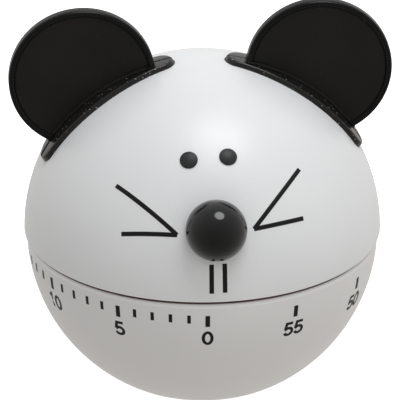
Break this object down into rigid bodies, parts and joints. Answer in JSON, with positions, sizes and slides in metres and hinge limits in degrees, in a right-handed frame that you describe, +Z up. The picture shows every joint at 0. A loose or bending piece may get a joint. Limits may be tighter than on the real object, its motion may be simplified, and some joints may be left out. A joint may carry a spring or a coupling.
{
  "type": "kitchen timer",
  "caption": "Wind-up kitchen timer shaped as a ball with a simple mouse face: the upper half turns as the knob over a dial printed on the lower half.",
  "frame": {"origin": "on the head's turning axis, at the flat face the timer rests on", "axes": "+Z up along the turning axis, -Y towards the face (the nose), +X towards the ear on the right when the face is seen from the front"},
  "size_m": [0.0747, 0.0745, 0.0773],
  "materials": {
    "white_plastic": "semi-gloss moulded plastic, warm white",
    "black_plastic": "satin moulded plastic, near black",
    "socket_plastic": "matte moulded plastic, near black",
    "nose_plastic": "high gloss moulded plastic, black",
    "eye_plastic": "matte plastic stud, dark grey",
    "brass": "stamped sheet brass",
    "steel": "turned or stamped steel",
    "spring_steel": "blued spring steel",
    "bell_steel": "nickel-plated pressed steel"
  },
  "bodies": {
    "base": {"base_shell": "white_plastic", "bell": "bell_steel", "bell_screw": "steel", "case_screws": "steel", "lower_plate": "brass", "upper_plate": "brass", "plate_pillars": "steel", "pillar_nuts": "steel", "arbor_bush": "brass", "spring_post": "steel", "mainspring": "spring_steel", "stop_pin": "steel", "hammer_spring": "spring_steel"},
    "head": {"head_shell": "white_plastic", "ear_left": "black_plastic", "ear_right": "black_plastic", "ear_socket_left": "socket_plastic", "ear_socket_right": "socket_plastic", "nose": "nose_plastic", "eye_left": "eye_plastic", "eye_right": "eye_plastic", "main_arbor": "steel", "spring_collet": "steel", "clutch_seat": "steel", "clutch_spring": "spring_steel", "clutch_collar": "steel", "strike_cam": "brass", "stop_arm": "steel"},
    "great": {"great_wheel": "brass"},
    "second": {"second_wheel": "brass", "second_pinion": "steel"},
    "third": {"third_wheel": "brass", "third_pinion": "steel"},
    "escape": {"escape_wheel": "brass", "escape_pinion": "steel"},
    "pallet": {"pallet_lever": "steel", "pallet_pins": "steel", "pallet_arbor": "steel", "balance_wheel": "brass"},
    "hammer": {"hammer_arbor": "steel", "hammer_arm": "steel", "hammer_head": "steel", "trip_lever": "steel", "cam_lever": "steel"}
  },
  "joints": [
    {"name": "head_turn", "type": "hinge", "parent": "base", "child": "head", "pos_m": [0, 0, 0.0297], "axis": [0, 0, 1], "range_deg": [-344, 0], "deforming": ["mainspring"]},
    {"name": "great_wheel_turn", "type": "hinge", "parent": "base", "child": "great", "pos_m": [0, 0, 0.0191], "axis": [0, 0, 1], "continuous": true},
    {"name": "second_wheel_turn", "type": "hinge", "parent": "base", "child": "second", "pos_m": [0.015, 0, 0.0185], "axis": [0, 0, 1], "continuous": true},
    {"name": "third_wheel_turn", "type": "hinge", "parent": "base", "child": "third", "pos_m": [0.01123, 0.01139, 0.0185], "axis": [0, 0, 1], "continuous": true},
    {"name": "escape_wheel_turn", "type": "hinge", "parent": "base", "child": "escape", "pos_m": [0.00256, 0.01731, 0.0185], "axis": [0, 0, 1], "continuous": true},
    {"name": "pallet_rock", "type": "hinge", "parent": "base", "child": "pallet", "pos_m": [-0.00563, 0.01762, 0.0185], "axis": [0, 0, 1], "range_deg": [-6, 6]},
    {"name": "hammer_swing", "type": "hinge", "parent": "base", "child": "hammer", "pos_m": [0.00825, -0.01429, 0.018], "axis": [0, 0, 1], "range_deg": [-4, 1.6], "deforming": ["hammer_spring"]}
  ],
  "couplings": [
    {"joint": "great_wheel_turn", "follows": "head_turn", "ratio": 1},
    {"joint": "second_wheel_turn", "follows": "head_turn", "ratio": -5},
    {"joint": "third_wheel_turn", "follows": "head_turn", "ratio": 25},
    {"joint": "escape_wheel_turn", "follows": "head_turn", "ratio": -150}
  ]
}
